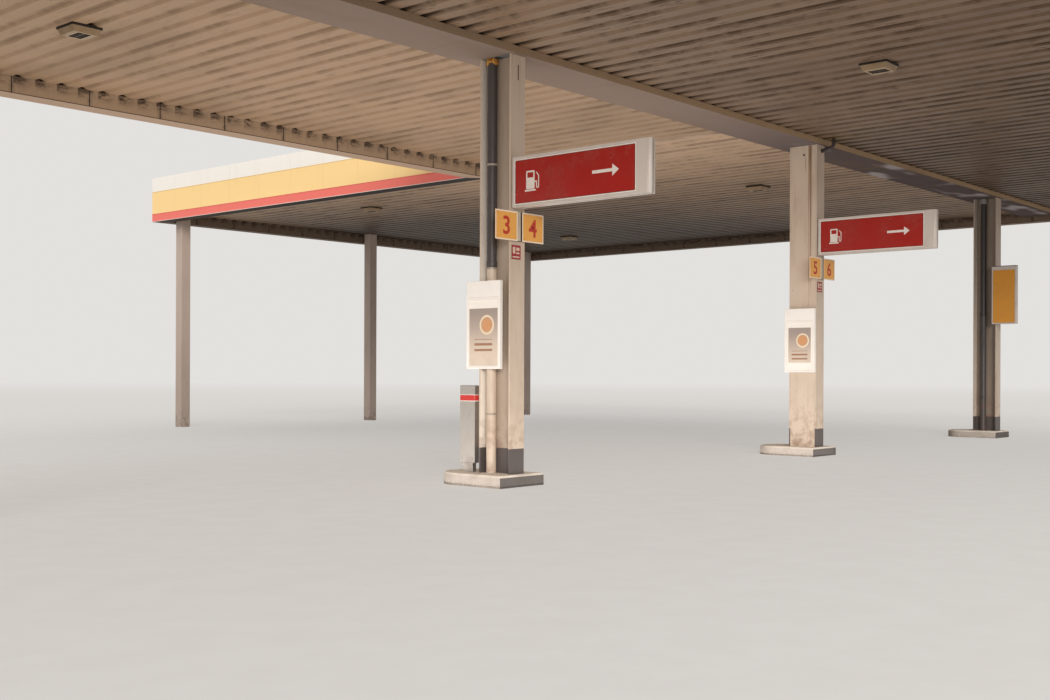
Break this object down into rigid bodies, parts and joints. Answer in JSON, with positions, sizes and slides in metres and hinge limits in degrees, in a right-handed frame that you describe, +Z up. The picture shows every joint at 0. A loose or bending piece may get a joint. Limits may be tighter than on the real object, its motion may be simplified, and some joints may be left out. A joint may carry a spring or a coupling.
{
  "type": "filling station canopy",
  "caption": "L-shaped filling station canopy: a flat roof with a ribbed metal ceiling and a banded box fascia on steel columns with concrete plinths, signs and ceiling lights.",
  "frame": {"origin": "centre of the first column, on the underside of its plinth", "axes": "+X along the column row, +Y across the row towards the wing, +Z up"},
  "size_m": [27.312, 20.512, 5.382],
  "materials": {
    "column_paint": "cream paint, chalky, with dirt at the foot",
    "plinth_concrete": "cast concrete, worn and stained; matte_plastic stands in for concrete",
    "pipe_grey": "dark grey paint, satin",
    "steel_primer": "grey primer, matt",
    "casing_sheet": "light grey-beige coated sheet, satin",
    "ceiling_sheet": "beige coated sheet with dirt along the ribs",
    "roof_sheet": "grey coated sheet, weathered",
    "gutter_zinc": "plain sheet metal, dull",
    "fascia_sheet": "coated sheet in white, yellow and red bands",
    "light_housing": "off-white housing, dusty",
    "sign_shell": "white shell with a plain red panel",
    "number_plate": "orange-yellow plate with red digits",
    "case_frame": null,
    "upright_panel": "plain yellow panel in a light frame",
    "guard_steel": "brushed steel",
    "pillar_render": "painted render on masonry; matte_plastic stands in for render"
  },
  "bodies": {
    "root": {"column_1": "column_paint", "column_2": "column_paint", "column_3": "column_paint", "column_4": "column_paint", "plinth_1": "plinth_concrete", "plinth_2": "plinth_concrete", "plinth_3": "plinth_concrete", "plinth_4": "plinth_concrete", "downpipes": "pipe_grey", "standpipes": "column_paint", "pipe_cover": "column_paint", "main_girder": "steel_primer", "girder_casing": "casing_sheet", "cross_beams": "steel_primer", "edge_beams": "steel_primer", "wing_beam": "steel_primer", "purlins": "steel_primer", "wing_pillar_1": "pillar_render", "wing_pillar_2": "pillar_render", "wing_pillar_3": "pillar_render", "ceiling_right": "ceiling_sheet", "ceiling_left": "ceiling_sheet", "ceiling_wing": "ceiling_sheet", "roof_right": "roof_sheet", "roof_left": "roof_sheet", "roof_wing": "roof_sheet", "roof_gutter": "gutter_zinc", "fascia_near": "fascia_sheet", "fascia_right": "fascia_sheet", "fascia_far": "fascia_sheet", "fascia_wing_end": "fascia_sheet", "fascia_wing_front": "fascia_sheet", "fascia_left": "fascia_sheet", "ceiling_lights": "light_housing", "sign_box_1": "sign_shell", "sign_box_2": "sign_shell", "sign_box_3": "sign_shell", "number_plates_1": "number_plate", "number_plates_2": "number_plate", "number_plates_3": "number_plate", "poster_case_1": "case_frame", "poster_case_2": "case_frame", "poster_case_3": "case_frame", "upright_sign": "upright_panel", "guard_post": "guard_steel"}
  },
  "joints": []
}
